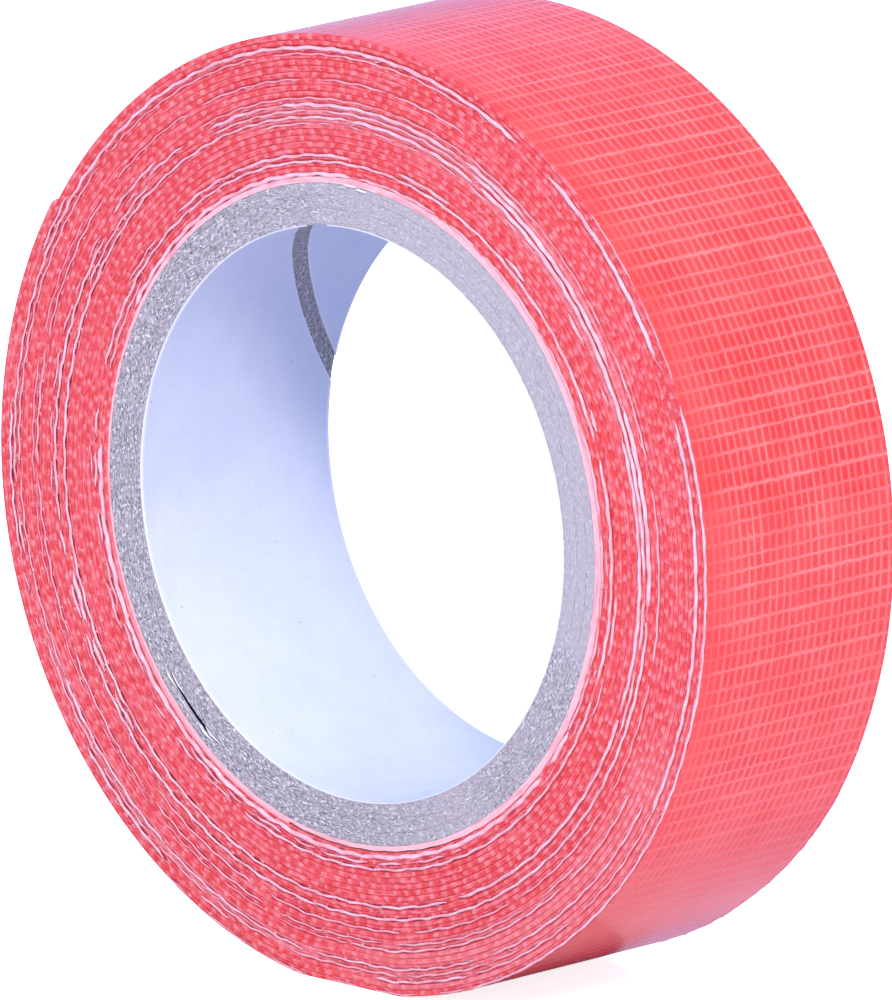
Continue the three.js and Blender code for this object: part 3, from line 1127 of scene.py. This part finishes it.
# Fibres torn out of the front of the core: (from angle, to angle, radius, thickness, lift), the
# last three in millimetres
TORN_FIBRES = (
    (217.6, 221.5, 21.36, 0.06, 0.05), (219.0, 223.5, 21.05, 0.05, 0.04),
    (229.5, 233.8, 21.42, 0.07, 0.06), (231.0, 235.2, 21.12, 0.06, 0.04),
    (222.5, 228.0, 21.52, 0.03, 0.02), (86.0, 88.8, 21.90, 0.08, 0.09),
    (88.4, 91.8, 22.06, 0.07, 0.12), (90.6, 93.0, 21.86, 0.04, 0.05),
    (83.5, 86.2, 22.10, 0.04, 0.06), (300.6, 302.4, 20.40, 0.06, 0.05),
    (322.0, 323.6, 20.75, 0.05, 0.05), (98.0, 100.4, 20.10, 0.04, 0.05),
)


def build_torn_fibres():
    """Short fibres that bow out of the front of the core."""
    paths, radii = [], []
    for order, (begin, finish, radius, thickness, lift) in enumerate(TORN_FIBRES):
        t = np.linspace(0, 1, 12)
        angles = begin + (finish - begin) * t
        bow = 0.05 * np.sin(math.pi * t) + 0.03 * waves(t, (0.23, 0.41, 0.77), order)
        y = -HALF_WIDTH + (0.03 - lift * np.sin(math.pi * t)) * MM
        paths.append(place(angles, (radius + bow) * MM, y))
        radii.append(thickness * MM * (0.25 + 0.75 * np.sin(math.pi * t)))
    piece = tubes("torn_fibres", paths, radii, 6, TORN)
    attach(piece, "root")


def build_liner():
    """Inner liner strip, helically wound, with an open butt seam right through the bore."""
    along = np.linspace(-1, 1, 61)
    spread = FULL_TURN - SEAM_WIDTH_ANGLE
    # From one edge of the strip round to the other, in small steps near both edges
    share = np.concatenate([[0, 0.0008, 0.0025], np.linspace(0.006, 0.994, 240),
                            [0.9975, 0.9992, 1]])
    y_line = along * (HALF_WIDTH - 0.02 * MM)
    start = SEAM_FRONT_ANGLE + SEAM_WIDTH_ANGLE / 2 + SEAM_TWIST * (along + 1) / 2
    angles = start[None] + spread * share[:, None]
    y = np.broadcast_to(y_line, angles.shape)
    inner_ring = place(angles, BORE_RADIUS, y)
    wave = 0.03 * MM * wavy(inner_ring, 1 / (5 * MM), 3)
    ragged = 0.12 * waves(y / MM, (1.3, 2.9, 5.1), 5)
    angles = angles + ragged * (np.exp(-share * 150) - np.exp((share - 1) * 150))[:, None]
    inside = place(angles, BORE_RADIUS + wave, y)
    outside = place(angles, PAPER_RADIUS, y)
    sections = np.concatenate([inside, outside[:, ::-1]], axis=1)
    piece = loft("inner_liner", sections, [PAPER])
    ends = smooth(1 - np.minimum(share, 1 - share) / 0.003)[:, None]
    rim = smooth((np.abs(y) - HALF_WIDTH + 0.2 * MM) / (0.18 * MM))
    edge = np.maximum(np.broadcast_to(ends, y.shape), rim)
    store(piece, "edge", np.concatenate([edge, edge[:, ::-1]], axis=1))
    turned = np.concatenate([angles, angles[:, ::-1]], axis=1)
    both = np.concatenate([y, y[:, ::-1]], axis=1)
    store_grain(piece, turned, both)
    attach(piece, "root")
    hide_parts("core_inner_liner")


# ---------------------------------------------------------------- studio

CAMERA_AZIMUTH = 43.60
CAMERA_ELEVATION = 12.72
CAMERA_DISTANCE = 1.604
CAMERA_LENS = 875.6
AIM_RIGHT = 0.1075 * MM
AIM_DOWN = 0.4525 * MM
SURROUND_COLOUR = (0.40, 0.53, 0.95, 1.0)
SURROUND_STRENGTH = 1.05
FLOOR_HALF_SIZE = 6.0


def add_camera():
    """Long lens at the photograph's angle, aimed a little below and to the right of the centre."""
    azimuth, elevation = math.radians(CAMERA_AZIMUTH), math.radians(CAMERA_ELEVATION)
    back = Vector((math.sin(azimuth) * math.cos(elevation),
                   -math.cos(azimuth) * math.cos(elevation), math.sin(elevation)))
    right = Vector((0, 0, 1)).cross(back).normalized()
    up = back.cross(right)
    data = bpy.data.cameras.new("camera")
    data.lens = CAMERA_LENS
    data.sensor_width = 36
    camera = bpy.data.objects.new("camera", data)
    camera.location = right * AIM_RIGHT - up * AIM_DOWN + back * CAMERA_DISTANCE
    camera.rotation_mode = "QUATERNION"
    camera.rotation_quaternion = (-back).to_track_quat("-Z", "Y")
    bpy.context.scene.collection.objects.link(camera)
    bpy.context.scene.camera = camera


def add_softbox(name, place_at, aim, size, watts, colour, shows_in_gloss=True):
    """A rectangular studio light, which can be left out of glossy reflections."""
    data = bpy.data.lights.new(name, "AREA")
    data.shape = "RECTANGLE"
    data.size, data.size_y = size
    data.energy = watts
    data.color = colour
    light = bpy.data.objects.new(name, data)
    light.location = place_at
    light.visible_glossy = shows_in_gloss
    light.rotation_mode = "QUATERNION"
    light.rotation_quaternion = (Vector(aim) - Vector(place_at)).to_track_quat("-Z", "Y")
    bpy.context.scene.collection.objects.link(light)


def add_lights():
    """Warm key, front and side lights and a plain back light. Gloss shows front and side only."""
    centre = (0, 0, 0)
    warm = (1.0, 0.90, 0.80)
    add_softbox("key", (1.1, -0.85, 1.0), centre, (0.4, 0.4), 27, warm, shows_in_gloss=False)
    add_softbox("front", (-0.1, -1.6, 0.35), centre, (0.9, 0.7), 14.5, (1.0, 0.90, 0.83))
    add_softbox("side", (1.5, -0.45, 0.05), centre, (0.7, 0.5), 11, (1.0, 0.86, 0.78))
    plain = (1.0, 0.96, 0.97)
    add_softbox("back", (0.12, 1.65, 1.03), centre, (0.15, 0.15), 31, plain, shows_in_gloss=False)


def add_floor():
    """Wide floor at the lowest point of the roll."""
    size = FLOOR_HALF_SIZE
    corners = np.array([(-size, -size, 0), (size, -size, 0), (size, size, 0), (-size, size, 0)])
    corners[:, 2] = cad_low.z
    floor = add_object("floor", corners, [[0, 1, 2, 3]], [FLOOR])


def add_surroundings():
    """Soft cool surroundings, plain white where they show behind the floor."""
    world = bpy.data.worlds.new("studio")
    bpy.context.scene.world = world
    world.use_nodes = True
    tree = world.node_tree
    cool = tree.nodes["Background"]
    cool.inputs["Color"].default_value = SURROUND_COLOUR
    cool.inputs["Strength"].default_value = SURROUND_STRENGTH
    white = tree.nodes.new("ShaderNodeBackground")
    white.inputs["Strength"].default_value = SURROUND_STRENGTH
    white.inputs["Color"].default_value = (1.0, 1.0, 1.0, 1.0)
    path = tree.nodes.new("ShaderNodeLightPath")
    mix = tree.nodes.new("ShaderNodeMixShader")
    tree.links.new(path.outputs["Is Camera Ray"], mix.inputs[0])
    tree.links.new(cool.outputs[0], mix.inputs[1])
    tree.links.new(white.outputs[0], mix.inputs[2])
    tree.links.new(mix.outputs[0], tree.nodes["World Output"].inputs["Surface"])


def build_all():
    """Every piece of the roll: the strip, its threads, filaments and weft ends, then the core."""
    build_wound_turns()
    build_outer_turn()
    build_free_end()
    build_threads("front_warp_threads", FRONT_PIECES, -1)
    build_threads("back_warp_threads", BACK_PIECES, 1)
    build_fuzz("front_fuzz", FRONT_PIECES, -1, 0.9)
    build_fuzz("back_fuzz", BACK_PIECES, 1, 0.5)
    last_angle = TIP_ANGLE + (LAST_TURN - 0.9) * FULL_TURN
    for face, side in (("front", -1), ("back", 1)):
        wound = build_weft_ends(face + "_weft_ends", side, PEEL_ANGLE + 0.5, last_angle)
        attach(wound, "root")
        free = build_weft_ends(face + "_free_weft_ends", side, TIP_ANGLE, PEEL_ANGLE - 0.5)
        bend_at_peel_line(free)
    inner = PAPER_RADIUS
    for order, node in enumerate(BOARD_NODES):
        build_board_ply(node, inner, BOARD_OUTER_RADII[order], order)
        inner = BOARD_OUTER_RADII[order]
    build_band()
    build_liner()
    build_torn_fibres()


build_all()
add_floor()
add_surroundings()
add_camera()
add_lights()
bpy.context.scene.view_settings.view_transform = "Standard"
